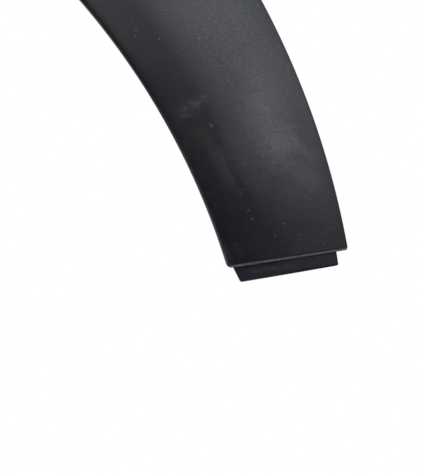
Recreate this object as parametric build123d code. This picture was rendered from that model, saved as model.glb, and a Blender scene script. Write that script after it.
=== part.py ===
from build123d import *
import os
from math import asin, atan2, cos, pi, radians, sin, sqrt, tan

# Wheel arch trim: a moulded strip round the top of a car's wheel opening, with the clips that hold it.
# Millimetres. +X runs along the car to the end with the joint tongue, +Y inboard to the body, +Z up.
# Everything is drawn about the wheel axis, with angles anticlockwise from +X as seen from outside,
# and moved at the end so that the origin is on the main locating pin, in the plane of the body.

# Side view
INNER_RADIUS = 380.0
OUTER_RADIUS = 432.5
OUTER_RISE = 44.7
END_ANGLE = 16.94
END_SLANT = 8.6
END_INNER_ROUND = 2.4
END_OUTER_ROUND = 2.2
END_EDGE_ROUND = 1.0
FAR_END_DROP = 45.0

# Cross-section
WALL = 2.8
ROLL_ROUND = 2.4
BAND_WIDTH = 20.0
CREST_RADIUS = 50.0
CREST_TILT = 17.0
EDGE_TILT = 30.0
EDGE_HEIGHT = 3.6
FLANGE_REACH = 2.0

# Joint tongue
TONGUE_LENGTH = 8.17
TONGUE_SLANT = 1.0
TONGUE_STEP = 2.6
TONGUE_WALL = 2.2
TONGUE_LAP = 5.0
TONGUE_INNER_INSET = 2.9
TONGUE_LEAD_IN = 18.4
TONGUE_OUTER_INSET = 6.1
TONGUE_ROUND = 1.0
TONGUE_ROOT_INSET = 1.0
TONGUE_ROOT_DEPTH = 1.2
TONGUE_SIDE_INSET = 0.4

# Screw ears on the flange
EAR_ANGLES = (22.0, 54.0, 86.0, 118.0, 150.0, 182.0)
EAR_WIDTH = 24.0
EAR_REACH = 16.0
EAR_ROUND = 5.0
SCREW_HOLE = 6.5
SCREW_HEIGHT = 8.5

# Towers that hold the clips
CLIP_ANGLES = (25.0, 51.0, 77.0, 103.0, 129.0, 155.0, 181.0)
TOWER_LENGTH = 20.0
TOWER_WIDTH = 16.0
TOWER_WALL = 1.8
TOWER_PLATE = 2.0
TOWER_TOP = -2.0
SLOT_WIDTH = 6.6

# Locating pins
MAIN_PIN_ANGLE = 90.0
SECOND_PIN_ANGLE = 38.0
PIN_DIAMETER = 6.0
PIN_REACH = 10.0
PIN_CHAMFER = 1.2
BOSS_DIAMETER = 12.0
BOSS_TOP = -3.0

# Gusset ribs between the flange and the face
RIB_ANGLES = (31.0, 45.0, 64.0, 84.0, 96.0, 116.0, 142.0, 168.0)
RIB_THICKNESS = 1.6
RIB_LENGTH = 14.0
RIB_HEIGHT = 6.0

# Push-in clips
HEAD_LENGTH = 12.0
HEAD_WIDTH = 10.0
HEAD_THICKNESS = 1.6
HEAD_CLEARANCE = 0.1
NECK_DIAMETER = 6.0
NECK_SIDES = 8
PLATE_LENGTH = 15.0
PLATE_WIDTH = 12.0
PLATE_SLANT = 2.0
SPEAR_THICKNESS = 5.0
SPEAR_ROOT = 6.0
SPEAR_WIDTH = 8.6
SPEAR_TIP = 2.4
SHOULDER_HEIGHT = 4.5
SPEAR_HEIGHT = 12.0
EYE_WIDTH = 2.2
EYE_FROM = 1.5
EYE_TO = 8.5

# Working sizes: where sections are drawn, and how far cutters run past what they cut
SECTION_START = 8.0
SECTION_STEP = 18.4
SECTION_COUNT = 11
TONGUE_SECTION_ANGLES = (11.0, 15.0, 19.0, 23.0)
STAND_SPAN = 4.0
INBOARD = 40.0
CUT_MARGIN = 10.0
CUT_DEPTH = 100.0
END_CUT_LENGTH = 300.0
END_CUT_MIDDLE = 50.0
EASE = 0.02
ON_LINE = 0.1
ON_PLANE = 0.001

FAR_END_ANGLE = asin(FAR_END_DROP / INNER_RADIUS) * 180 / pi


def outer_radius(angle):
    # distance from the wheel axis to the edge on the body
    a = radians(angle)
    return OUTER_RISE * sin(a) + sqrt(OUTER_RADIUS**2 - (OUTER_RISE * cos(a)) ** 2)


def mid_radius(angle):
    return (INNER_RADIUS + outer_radius(angle)) / 2


class Section:
    # arcs and heights of the cross-section at one angle, as (radius, y)

    def __init__(self, angle):
        t1 = radians(CREST_TILT)
        t2 = radians(EDGE_TILT)
        self.outer = outer_radius(angle)
        run = self.outer - INNER_RADIUS - BAND_WIDTH - CREST_RADIUS * sin(t1)
        self.slope = run / (sin(t2) - sin(t1))
        self.slope_centre = along((self.outer, -EDGE_HEIGHT), -self.slope, EDGE_TILT)
        self.crest_centre = along(self.slope_centre, self.slope - CREST_RADIUS, CREST_TILT)
        self.height = CREST_RADIUS - self.crest_centre[1]


def along(point, distance, tilt):
    # a point moved outwards along the normal of a face tilted by so many degrees
    t = radians(tilt)
    return (point[0] + distance * sin(t), point[1] - distance * cos(t))


def arc(centre, radius, start, end):
    return tuple(along(centre, radius, t) for t in (start, (start + end) / 2, end))


def face_path(section, depth, start):
    # band, crest and slope, so deep in the wall, from a given radius
    y = depth - section.height
    return [
        ((start, y), (INNER_RADIUS + BAND_WIDTH, y)),
        arc(section.crest_centre, CREST_RADIUS - depth, 0, CREST_TILT),
        arc(section.slope_centre, section.slope - depth, CREST_TILT, EDGE_TILT),
    ]


def wall_path(section, depth, inboard):
    # the whole outside from the flange to the foot, so deep in the wall
    inner = INNER_RADIUS + depth
    outer = section.outer - depth
    if depth < ROLL_ROUND:
        centre = (INNER_RADIUS + ROLL_ROUND, ROLL_ROUND - section.height)
        roll = arc(centre, ROLL_ROUND - depth, -90, 0)
        path = [((inner, inboard), roll[0]), roll]
        path += face_path(section, depth, INNER_RADIUS + ROLL_ROUND)
    else:
        path = [((inner, inboard), (inner, depth - section.height))]
        path += face_path(section, depth, inner)
    reach = asin((outer - section.slope_centre[0]) / (section.slope - depth)) * 180 / pi
    path[-1] = arc(section.slope_centre, section.slope - depth, CREST_TILT, reach)
    path.append((path[-1][-1], (outer, inboard)))
    return path


def placed(point, angle):
    a = radians(angle)
    return Vector(point[0] * cos(a), point[1], point[0] * sin(a))


def ring_wire(paths, angle):
    # closed wire of one or two paths, the second run backwards
    edges = []
    ends = []
    for path in paths:
        for step in path:
            points = [placed(p, angle) for p in step]
            if len(points) == 2:
                edges.append(Edge.make_line(*points))
            else:
                edges.append(Edge.make_three_point_arc(*points))
        ends.append((placed(path[0][0], angle), placed(path[-1][-1], angle)))
    if len(paths) == 1:
        edges.append(Edge.make_line(ends[0][1], ends[0][0]))
    else:
        edges.append(Edge.make_line(ends[0][1], ends[1][1]))
        edges.append(Edge.make_line(ends[1][0], ends[0][0]))
    return Wire(edges)


def skin():
    # the thin wall all round, longer than the trim at both ends and at its inboard edges
    wires = []
    for i in range(SECTION_COUNT):
        angle = SECTION_START + SECTION_STEP * i
        section = Section(angle)
        paths = [wall_path(section, 0, INBOARD), wall_path(section, WALL, INBOARD)]
        wires.append(ring_wire(paths, angle))
    return Solid.make_loft(wires)


def drum(inner, outer, low, high):
    # a plain ring about the wheel axis between two heights
    face = Plane.XZ * (Circle(outer) - Circle(inner))
    return Pos(0, low, 0) * extrude(face, amount=high - low, dir=(0, 1, 0))


def ear_prisms():
    # the outline of each screw ear, run through the flange
    height = EAR_REACH - FLANGE_REACH + 2 * CUT_MARGIN
    prisms = []
    for angle in EAR_ANGLES:
        with BuildSketch() as outline:
            with Locations((0, EAR_REACH - height / 2)):
                Rectangle(EAR_WIDTH, height)
            fillet(outline.vertices().group_by(Axis.Y)[-1], EAR_ROUND)
        corner = placed((INNER_RADIUS - CUT_MARGIN, 0), angle)
        facing = Plane(corner, x_dir=tangent(angle) * -1, z_dir=placed((-1, 0), angle))
        prisms.append(extrude(facing * outline.sketch, amount=-3 * CUT_MARGIN))
    return prisms


def tangent(angle):
    a = radians(angle)
    return Vector(sin(a), 0, -cos(a))


def trimmed(body):
    # foot cut flat in the plane of the body, flange cut back between the screw ears
    top = INBOARD + CUT_MARGIN
    body = body.cut(drum(INNER_RADIUS + CUT_MARGIN, OUTER_RADIUS + CUT_DEPTH, 0, top))
    waste = drum(INNER_RADIUS - CUT_MARGIN, INNER_RADIUS + CUT_MARGIN, FLANGE_REACH, top)
    return body.cut(waste.cut(*ear_prisms()))


def end_place(angle, slant):
    # in side view, the inner corner of a straight end on the +X side, with its line along local X
    return Pos(INNER_RADIUS * cos(radians(angle)), INNER_RADIUS * sin(radians(angle))) * Rot(0, 0, slant)


def end_length():
    # along the slanted end from its inner corner to the edge on the body
    corner = end_place(END_ANGLE, END_SLANT).position
    x = corner.X
    z = corner.Y - OUTER_RISE
    run = x * cos(radians(END_SLANT)) + z * sin(radians(END_SLANT))
    return sqrt(run**2 + OUTER_RADIUS**2 - x**2 - z**2) - run


def past_end(angle, slant):
    # all that lies past a straight end on the +X side
    middle = end_place(angle, slant) * Pos(END_CUT_MIDDLE, -CUT_DEPTH / 2)
    return extrude(Plane.XZ * (middle * Rectangle(END_CUT_LENGTH, CUT_DEPTH)), amount=CUT_DEPTH, both=True)


def corner_waste():
    # what the rounds take off the two corners of the slanted end in side view
    place = end_place(END_ANGLE, END_SLANT)
    crescent = Pos(0, OUTER_RISE) * Circle(OUTER_RADIUS + EASE) - Circle(INNER_RADIUS - EASE)
    square = Rectangle(END_CUT_LENGTH, 2 * CUT_DEPTH)
    kept = crescent & (place * Pos(END_CUT_MIDDLE, CUT_DEPTH - EASE) * square)
    for radius, side in ((END_INNER_ROUND, 0), (END_OUTER_ROUND, -1)):
        on_line = [v for v in kept.vertices() if abs((place.inverse() * Pos(v.X, v.Y)).position.Y) < ON_LINE]
        kept = fillet(sorted(on_line, key=lambda v: v.X)[side], radius)
    waste = place * Pos(END_CUT_MIDDLE, 0) * square - kept
    return extrude(Plane.XZ * waste, amount=CUT_DEPTH, both=True)


def outside_edges(body):
    # the outside of the section where it meets the slanted end
    place = end_place(END_ANGLE, END_SLANT)
    found = []
    for edge in body.edges():
        points = [edge @ t for t in (0, 0.5, 1)]
        offsets = [(place.inverse() * Pos(q.X, q.Z)).position.Y for q in points]
        on_end = max(abs(o) for o in offsets) < ON_PLANE
        if on_end and max(abs(depth(q)) for q in points) < WALL / 4:
            found.append(edge)
    return found


def depth(point):
    # how far below the outside of the trim a point lies
    r = sqrt(point.X**2 + point.Z**2)
    section = Section(atan2(point.Z, point.X) * 180 / pi)
    edges = min(r - INNER_RADIUS, section.outer - r)
    if r < INNER_RADIUS + BAND_WIDTH:
        return min(edges, section.height + point.Y)
    centre, radius = section.crest_centre, CREST_RADIUS
    if atan2(r - centre[0], centre[1] - point.Y) > radians(CREST_TILT):
        centre, radius = section.slope_centre, section.slope
    return min(edges, radius - sqrt((r - centre[0]) ** 2 + (point.Y - centre[1]) ** 2))


def tongue():
    # the stepped-down strip past the end, which the next trim along the car laps over
    wires = []
    start = INNER_RADIUS + TONGUE_SIDE_INSET
    for angle in TONGUE_SECTION_ANGLES:
        section = Section(angle)
        outside = face_path(section, TONGUE_STEP, start)
        underside = face_path(section, TONGUE_STEP + TONGUE_WALL, start)
        wires.append(ring_wire([outside, underside], angle))
    sheet = Solid.make_loft(wires)
    fall = tan(radians(TONGUE_SLANT))
    lead = tan(radians(TONGUE_LEAD_IN))
    tip = (TONGUE_LENGTH - fall * TONGUE_INNER_INSET) / (1 + fall * lead)
    far = end_length() - TONGUE_OUTER_INSET
    corners = [
        (TONGUE_ROOT_INSET, TONGUE_LAP),
        (far, TONGUE_LAP),
        (far, fall * far - TONGUE_LENGTH),
        (TONGUE_INNER_INSET + tip * lead, -tip),
        (TONGUE_INNER_INSET, 0),
        (TONGUE_ROOT_INSET, TONGUE_ROOT_DEPTH),
    ]
    outline = make_face(Polyline(*corners, close=True))
    outline = fillet([v for v in outline.vertices() if v.Y < -TONGUE_LENGTH / 2], TONGUE_ROUND)
    outline = end_place(END_ANGLE, END_SLANT) * outline
    return sheet.intersect(extrude(Plane.XZ * outline, amount=CUT_DEPTH, both=True))


def back_place(angle, y):
    # on the centre line of the back, with local Z inboard and local X along the trim
    return Plane(placed((mid_radius(angle), y), angle), x_dir=tangent(angle), z_dir=(0, 1, 0)).location


def tower(angle):
    # a box open at one end, with a slot in its top plate for the neck of a clip
    block = Pos(0, 0, -INBOARD) * Box(TOWER_LENGTH, TOWER_WIDTH, 2 * INBOARD)
    room = Pos(-TOWER_WALL, 0, -TOWER_PLATE - INBOARD) * Box(
        TOWER_LENGTH, TOWER_WIDTH - 2 * TOWER_WALL, 2 * INBOARD
    )
    slot = Pos(-TOWER_LENGTH / 2, 0, 0) * Box(TOWER_LENGTH, SLOT_WIDTH, 3 * TOWER_PLATE)
    slot += Cylinder(SLOT_WIDTH / 2, 3 * TOWER_PLATE)
    return back_place(angle, TOWER_TOP) * (block - room - slot)


def pin(angle):
    # a locating pin on a round boss
    boss = Pos(0, 0, BOSS_TOP - INBOARD) * Cylinder(BOSS_DIAMETER / 2, 2 * INBOARD)
    shank = Pos(0, 0, (PIN_REACH + BOSS_TOP) / 2) * Cylinder(PIN_DIAMETER / 2, PIN_REACH - BOSS_TOP)
    shank = chamfer(shank.edges().group_by(Axis.Z)[-1], PIN_CHAMFER)
    return back_place(angle, 0) * (boss + shank)


def rib(angle):
    # a gusset between the flange and the band
    floor = WALL - Section(angle).height
    foot = INNER_RADIUS + WALL
    points = [
        (foot - WALL, floor - WALL),
        (foot + RIB_LENGTH, floor - WALL),
        (foot + RIB_LENGTH, floor),
        (foot, floor + RIB_HEIGHT),
        (foot - WALL, floor + RIB_HEIGHT),
    ]
    plane = Plane((0, 0, 0), x_dir=placed((1, 0), angle), z_dir=tangent(angle) * -1)
    return extrude(plane * make_face(Polyline(*points, close=True)), amount=RIB_THICKNESS / 2, both=True)


def clipped(body, angle):
    # a feature of the back cut off half-way through the wall it stands on
    around = [angle - STAND_SPAN, angle, angle + STAND_SPAN]
    wires = [ring_wire([wall_path(Section(a), WALL / 2, INBOARD)], a) for a in around]
    return body & Solid.make_loft(wires)


def backs():
    # all that stands on the back
    parts = [clipped(tower(a), a) for a in CLIP_ANGLES]
    parts += [clipped(pin(a), a) for a in (MAIN_PIN_ANGLE, SECOND_PIN_ANGLE)]
    parts += [clipped(rib(a), a) for a in RIB_ANGLES]
    wall = Pos(-INNER_RADIUS, -INBOARD, WALL / 2 - FAR_END_DROP) * Box(2 * CUT_DEPTH, 2 * INBOARD, WALL)
    parts.append(clipped(wall, 180 + FAR_END_ANGLE))
    return parts


def screw_holes():
    holes = []
    for angle in EAR_ANGLES:
        facing = Plane(placed((INNER_RADIUS, SCREW_HEIGHT), angle), z_dir=placed((1, 0), angle))
        holes.append(facing.location * Cylinder(SCREW_HOLE / 2, 6 * WALL))
    return holes


def ended(body):
    # both ends cut straight, with a round along the outside of the one with the tongue
    body = body.cut(past_end(END_ANGLE, END_SLANT), mirror(past_end(-FAR_END_ANGLE, 0), about=Plane.YZ))
    body = fillet(outside_edges(body), END_EDGE_ROUND)
    return body.cut(corner_waste())


def moulding():
    body = ended(trimmed(skin()))
    stands = backs()
    body = body.fuse(*[s for p in stands for s in p.solids()], *tongue().solids())
    body = body.cut(*screw_holes())
    return body


def clip():
    # a push-in clip, with the top of its plate at local Z = 0 and its spearhead upwards
    top = TOWER_TOP - TOWER_PLATE - HEAD_CLEARANCE
    body = Pos(0, 0, top - HEAD_THICKNESS / 2) * Box(HEAD_LENGTH, HEAD_WIDTH, HEAD_THICKNESS)
    neck = RegularPolygon(NECK_DIAMETER / 2, NECK_SIDES)
    body += extrude(Pos(0, 0, top) * neck, amount=TOWER_TOP - top)
    under = Pos(0, 0, TOWER_TOP) * Rectangle(PLATE_LENGTH - 2 * PLATE_SLANT, PLATE_WIDTH - 2 * PLATE_SLANT)
    body += loft([under, Rectangle(PLATE_LENGTH, PLATE_WIDTH)], ruled=True)
    corners = [(SPEAR_ROOT / 2, 0), (SPEAR_WIDTH / 2, SHOULDER_HEIGHT), (SPEAR_TIP / 2, SPEAR_HEIGHT)]
    corners += [(-x, z) for x, z in reversed(corners)]
    ring = [(0, EYE_FROM), (EYE_WIDTH / 2, SHOULDER_HEIGHT), (0, EYE_TO), (-EYE_WIDTH / 2, SHOULDER_HEIGHT)]
    spear = make_face(Polyline(*corners, close=True)) - make_face(Polyline(*ring, close=True))
    body += extrude(Plane.XZ * spear, amount=SPEAR_THICKNESS / 2, both=True)
    return body


def main():
    os.makedirs("parts", exist_ok=True)
    home = Pos(0, 0, -mid_radius(MAIN_PIN_ANGLE))
    export_step(home * moulding(), "parts/arch_moulding.step")
    one = clip()
    clips = [home * back_place(a, 0) * one for a in CLIP_ANGLES]
    export_step(Compound([s for c in clips for s in c.solids()]), "parts/panel_clips.step")


if __name__ == "__main__":
    main()
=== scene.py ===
from math import asin, atan2, ceil, cos, hypot, pi, radians, sin, sqrt, tan
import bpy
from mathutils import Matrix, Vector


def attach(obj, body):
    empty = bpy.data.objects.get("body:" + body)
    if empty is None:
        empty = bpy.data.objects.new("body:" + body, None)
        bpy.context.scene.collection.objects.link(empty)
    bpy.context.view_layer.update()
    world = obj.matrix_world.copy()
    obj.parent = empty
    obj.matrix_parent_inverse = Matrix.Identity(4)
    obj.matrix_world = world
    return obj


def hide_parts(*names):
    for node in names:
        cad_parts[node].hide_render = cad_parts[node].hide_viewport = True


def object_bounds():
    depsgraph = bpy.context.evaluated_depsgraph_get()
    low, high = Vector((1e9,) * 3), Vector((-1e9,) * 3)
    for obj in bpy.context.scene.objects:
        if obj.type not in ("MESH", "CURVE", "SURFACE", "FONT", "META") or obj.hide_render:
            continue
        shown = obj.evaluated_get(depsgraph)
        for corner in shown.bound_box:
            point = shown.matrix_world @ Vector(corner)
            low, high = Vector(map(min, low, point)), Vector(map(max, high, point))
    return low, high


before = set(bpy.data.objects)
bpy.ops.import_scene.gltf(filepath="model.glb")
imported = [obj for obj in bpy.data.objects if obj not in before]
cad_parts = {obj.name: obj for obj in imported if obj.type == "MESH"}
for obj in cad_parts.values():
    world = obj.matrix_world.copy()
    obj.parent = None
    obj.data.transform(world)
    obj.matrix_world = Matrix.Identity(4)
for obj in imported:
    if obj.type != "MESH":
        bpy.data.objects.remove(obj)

from types import SimpleNamespace

import bmesh
import bpy
from bpy.props import FloatProperty, FloatVectorProperty, PointerProperty
from bpy.types import Operator, Panel, PropertyGroup
from mathutils import Matrix, Vector

bl_info = {
    "name": "Wheel Arch Trim",
    "version": (1, 0, 0),
    "blender": (4, 5, 0),
    "location": "3D View > Sidebar > Arch Trim",
    "description": "Models a moulded wheel arch trim, its clips and the light that it is shown in",
    "category": "Add Mesh",
}

# The box of the fixed frame, which sets the floor and the height of the wheel axis.
FRAME_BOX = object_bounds()

MM = 0.001

# Angles about the wheel axis, in degrees, anticlockwise from +X as seen from outside.
EAR_ANGLES = [22 + 32 * i for i in range(6)]
CLIP_ANGLES = [25 + 26 * i for i in range(7)]
PIN_ANGLES = (90, 38)
RIB_ANGLES = (31, 45, 64, 84, 96, 116, 142, 168)

# Rows of faces beside each end, in mm from it, close together over its round.
NEAR_STEPS = (0, 0.02, 0.07, 0.16, 0.3, 0.5, 0.75, 1.0, 1.4, 1.9, 2.4, 3.1)
FAR_STEPS = (2.5, 1.2, 0.6, 0.35, 0.18, 0.06, 0)
# Where the rows between the ends begin.
CLEAR_OF_ENDS = 4 * MM

# Corners closer than this are one.
MERGE = 1e-6
# Rounds of approach that find a place beside an end.
APPROACHES = 6
# Share of the way from the face's round to the inner corner's, at the rolled edge.
ROLL_SHARE = 0.15
# Edges bent further than these are a rim, are rounded off, or stay sharp in the shading.
RIM_BEND = 1.0
ROUNDED_BEND = radians(25)
SHARP_BEND = radians(32)
ROD_SIDES = 40
PIN_SIDES = 48
# The far end's plate inside the rim, and the clip's parts inside one another.
PLATE_RECESS = 0.05 * MM
NECK_OVERLAP = 0.2 * MM
SPEAR_OVERLAP = MM
PLATE_ROUND = 2 * MM


def length(name, description, millimetres):
    return FloatProperty(
        name=name, description=description, default=millimetres * MM, unit="LENGTH", subtype="DISTANCE"
    )


def angle(name, description, degrees):
    return FloatProperty(name=name, description=description, default=radians(degrees), subtype="ANGLE")


def share(name, description, value):
    return FloatProperty(name=name, description=description, default=value, min=0, max=1, subtype="FACTOR")


def colour(name, description, value):
    return FloatVectorProperty(
        name=name, description=description, default=value, min=0, max=1, subtype="COLOR"
    )


def watts(name, description, value):
    return FloatProperty(name=name, description=description, default=value, min=0, unit="POWER")


class ArchSizes(PropertyGroup):
    """Side view and cross-section of the moulding"""

    inner_radius: length("Inner radius", "Wheel axis to the wheel-side edge", 380)
    outer_radius: length("Outer radius", "Radius of the edge on the body", 432.5)
    outer_rise: length("Outer rise", "Height of that arc's centre above the wheel axis", 44.7)
    end_angle: angle("End angle", "Place of the tongue end's inner corner", 16.94)
    end_slant: angle("End slant", "Slope of the tongue end in side view", 8.6)
    end_round: length("End round", "Round along the face at the tongue end", 1.5)
    end_inner_round: length("End inner round", "Inner corner of that end in side view", 2.4)
    end_outer_round: length("End outer round", "Outer corner of that end in side view", 2.2)
    far_end_drop: length("Far end drop", "Far end below the wheel axis", 45)
    far_round: length("Far end round", "Round along the outside of the far end", 0.6)
    wall: length("Wall", "Thickness of the skin", 2.8)
    roll_round: length("Roll round", "Round between the flange and the band", 2.4)
    band_width: length("Band width", "Flat band beside the wheel-side edge", 20)
    crest_radius: length("Crest radius", "Round between the band and the slope", 50)
    crest_tilt: angle("Crest tilt", "Tilt of the face where the slope begins", 17)
    edge_tilt: angle("Edge tilt", "Tilt of the face at its edge on the body", 30)
    edge_height: length("Edge height", "Height of that edge above the body", 3.6)
    lip_round: length("Lip round", "Round at the top of that edge", 0.5)
    flange_reach: length("Flange reach", "Flange past the plane of the body", 2)
    row_step: length("Row step", "Distance between rows of faces along the arch", 4)


class TongueSizes(PropertyGroup):
    """The stepped strip past the end, which the next trim laps over"""

    length: length("Length", "Reach past the end", 8.17)
    slant: angle("Slant", "Turn of the tip against the end", 1.0)
    step: length("Step", "Depth below the face", 2.6)
    wall: length("Wall", "Thickness of the strip", 2.2)
    lap: length("Lap", "Reach behind the face", 5)
    inner_inset: length("Inner inset", "Root of the wheel-side edge from the corner", 2.9)
    lead_in: angle("Lead-in", "Slant of the wheel-side edge", 18.4)
    outer_inset: length("Outer inset", "Outer edge from the corner", 6.1)
    corner_round: length("Corner round", "Round at the two corners of the tip", 1.0)
    rim_round: length("Rim round", "Round along the upper rim", 0.35)
    root_inset: length("Root inset", "Edge of the part behind the face from the corner", 1.0)
    root_depth: length("Root depth", "Where that edge meets the lead-in, behind the end", 1.2)
    cell: length("Cell", "Distance between cuts that let the strip follow the face", 2.5)


class BackSizes(PropertyGroup):
    """What stands on the back: screw ears, clip towers, locating pins and ribs"""

    ear_width: length("Ear width", "Along the flange", 24)
    ear_reach: length("Ear reach", "Past the plane of the body", 16)
    ear_round: length("Ear round", "At the two corners", 5)
    screw_hole: length("Screw hole", "Diameter", 6.5)
    screw_height: length("Screw height", "Hole past the plane of the body", 8.5)
    tower_length: length("Tower length", "Along the arch", 20)
    tower_width: length("Tower width", "Across the arch", 16)
    tower_wall: length("Tower wall", "Thickness of the sides", 1.8)
    tower_plate: length("Tower plate", "Thickness of the top", 2)
    tower_top: length("Tower top", "Top from the plane of the body", -2)
    slot_width: length("Slot width", "Keyhole for the neck of a clip", 6.6)
    pin_diameter: length("Pin diameter", "Locating pin", 6)
    pin_reach: length("Pin reach", "Past the plane of the body", 10)
    pin_chamfer: length("Pin chamfer", "Lead-in at the tip", 1.2)
    boss_diameter: length("Boss diameter", "Round foot of a pin", 12)
    boss_top: length("Boss top", "Foot from the plane of the body", -3)
    rib_thickness: length("Rib thickness", "Gusset between flange and face", 1.6)
    rib_length: length("Rib length", "Across the band", 14)
    rib_height: length("Rib height", "Up the flange", 6)


class ClipSizes(PropertyGroup):
    """A push-in clip"""

    head_length: length("Head length", "Along the arch", 12)
    head_width: length("Head width", "Across the arch", 10)
    head_thickness: length("Head thickness", "Inside the tower", 1.6)
    head_gap: length("Head clearance", "Under the tower's top plate", 0.1)
    neck_diameter: length("Neck diameter", "In the keyhole", 6)
    plate_length: length("Plate length", "Along the arch", 15)
    plate_width: length("Plate width", "Across the arch", 12)
    plate_slant: length("Plate slant", "Narrowing of the plate towards the tower", 2)
    spear_thickness: length("Spear thickness", "Across the arch", 5)
    spear_root: length("Spear root", "Width at the plate", 6)
    spear_width: length("Spear width", "Width at the shoulders", 8.6)
    spear_tip: length("Spear tip", "Width at the tip", 2.4)
    shoulder_height: length("Shoulder height", "Above the plate", 4.5)
    spear_height: length("Spear height", "Above the plate", 12)
    eye_width: length("Eye width", "Slot that lets the shoulders spring", 2.2)
    eye_from: length("Eye start", "Above the plate", 1.5)
    eye_to: length("Eye end", "Above the plate", 8.5)
    edge_round: length("Edge round", "Round on the moulded edges", 0.25)


class PlasticLook(PropertyGroup):
    """Black grained plastic and what lies on it"""

    black: colour("Black", "Plastic", (0.0056, 0.0062, 0.0108))
    # The bloom colour is also mixed in more towards the top of the arch, as painted light.
    bloom: colour("Bloom", "Paler, browner patches of the plastic", (0.0138, 0.0132, 0.0126))
    # This colour is a hazy layer on the face and also a painted highlight on the slope.
    film_and_highlight: colour("Film", "Dried haze on the face", (0.076, 0.0768, 0.0858))
    dust: colour("Dust", "Specks and scuffs", (0.19, 0.193, 0.203))
    smudge: colour("Smudge", "Dried smear", (0.090, 0.087, 0.086))
    stain: colour("Stain", "Brown stain on the band", (0.0160, 0.0122, 0.0114))
    # A painted highlight along the round of the end, where it catches light from below.
    painted_end_highlight: colour("Worn", "Rubbed edge of the end", (0.128, 0.134, 0.147))
    sheen: colour("Sheen", "Tint of the plastic's gloss", (0.915, 0.94, 1.0))
    roughness: share("Roughness", "Of the clean plastic", 0.36)
    grain: share("Grain", "Strength of the moulded grain", 0.14)
    grain_size: length("Grain size", "Width of the moulded grain", 0.65)


class NylonLook(PropertyGroup):
    """Natural nylon of the clips"""

    nylon: colour("Nylon", "Clip", (0.70, 0.69, 0.63))
    core: colour("Core", "Denser patches of the nylon", (0.60, 0.585, 0.52))
    roughness: share("Roughness", "Of the nylon", 0.42)


class StageLook(PropertyGroup):
    """Camera, lamps, floor and background"""

    view_height: length("View height", "Height of the picture in the plane of the trim", 245.0)
    view_distance: length("View distance", "Camera to the trim", 2000)
    view_x: length("View centre X", "Middle of the picture", 355.37)
    view_z: length("View centre Z", "Middle of the picture, from the wheel axis", 126.78)
    key_power: watts("Key power", "Soft lamp on the right", 2.52)
    front_power: watts("Front power", "Soft lamp in front, above the camera's view", 1.33)
    far_power: watts("Far power", "Soft lamp on the left, for the far half", 3.0)
    rim_power: watts("Rim power", "Each of two small lamps low on the left, for the rolled edge", 0.0085)
    shoulder_power: watts("Shoulder power", "Faint lamp for the round beside the rolled edge", 0.012)
    back_power: watts("Back power", "Soft lamp behind, for the clips and ribs", 3.0)
    bounce_power: watts("Bounce power", "Each of two lamps for light off the floor below the end", 0.085)
    lamp_tint: colour("Lamp tint", "Slightly cool light", (0.95, 0.97, 1.0))
    fill: share("Fill", "Dim light all round", 0.02)
    backlight: share("Backlight", "Light from the white wall behind", 0.30)
    floor: colour("Floor", "Pale floor", (0.80, 0.80, 0.80))
    floor_sheen: share("Floor sheen", "How much of the floor's light the plastic reflects", 0.3)
    paper: share("Paper", "How far the floor is white to the camera, apart from its shadows", 0.6)


# Cross-section of the moulding


def tilted(distance, tilt):
    """A step along the outward normal of a face with that tilt, as (radius, y)"""
    return Vector((distance * sin(tilt), -distance * cos(tilt)))


class Section:
    """The wall of the moulding at one angle about the wheel axis, in (radius, y)"""

    def __init__(self, sizes, angle, reach=0.0):
        s = sizes
        rise = s.outer_rise
        self.sizes = s
        self.reach = reach
        self.outer = rise * sin(angle) + sqrt(s.outer_radius**2 - (rise * cos(angle)) ** 2)
        run = self.outer - s.inner_radius - s.band_width - s.crest_radius * sin(s.crest_tilt)
        self.slope_radius = run / (sin(s.edge_tilt) - sin(s.crest_tilt))
        self.slope_centre = Vector((self.outer, -s.edge_height)) - tilted(self.slope_radius, s.edge_tilt)
        self.crest_centre = self.slope_centre + tilted(self.slope_radius - s.crest_radius, s.crest_tilt)
        self.height = s.crest_radius - self.crest_centre.y

    def ear(self, share, depth):
        return Vector((self.sizes.inner_radius + depth, self.reach))

    def flange(self, share, depth):
        foot = self.sizes.flange_reach
        corner = max(self.sizes.roll_round, depth) - self.height
        return Vector((self.sizes.inner_radius + depth, foot + share * (corner - foot)))

    def roll(self, share, depth):
        inset = max(self.sizes.roll_round, depth)
        centre = Vector((self.sizes.inner_radius + inset, inset - self.height))
        return centre + tilted(inset - depth, (share - 1) * pi / 2)

    def band(self, share, depth):
        inset = max(self.sizes.roll_round, depth)
        across = inset + share * (self.sizes.band_width - inset)
        return Vector((self.sizes.inner_radius + across, depth - self.height))

    def crest(self, share, depth):
        return self.crest_centre + tilted(self.sizes.crest_radius - depth, share * self.sizes.crest_tilt)

    def lip_tilt(self, inset):
        return asin((self.outer - inset - self.slope_centre.x) / (self.slope_radius - inset))

    def slope(self, share, depth):
        first = self.sizes.crest_tilt
        last = self.lip_tilt(max(self.sizes.lip_round, depth))
        return self.slope_centre + tilted(self.slope_radius - depth, first + share * (last - first))

    def lip(self, share, depth):
        inset = max(self.sizes.lip_round, depth)
        first = self.lip_tilt(inset)
        centre = self.slope_centre + tilted(self.slope_radius - inset, first)
        return centre + tilted(inset - depth, first + share * (pi / 2 - first))

    def edge(self, share, depth):
        top = self.lip(1, depth)
        return Vector((self.outer - depth, top.y * (1 - share)))

    def face_y(self, radius, depth):
        """Height of the face, so deep in the wall, at a given radius"""
        s = self.sizes
        centre = self.crest_centre
        reach = s.crest_radius - depth
        if radius < s.inner_radius + s.band_width:
            return depth - self.height
        if radius > centre.x + reach * sin(s.crest_tilt):
            centre = self.slope_centre
            reach = self.slope_radius - depth
        return centre.y - sqrt(reach**2 - (radius - centre.x) ** 2)


def mixed(first, last, share):
    return first + (last - first) * share


def in_plan(radius, angle, y):
    """A point about the wheel axis"""
    return Vector((radius * cos(angle), y, radius * sin(angle)))


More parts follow.
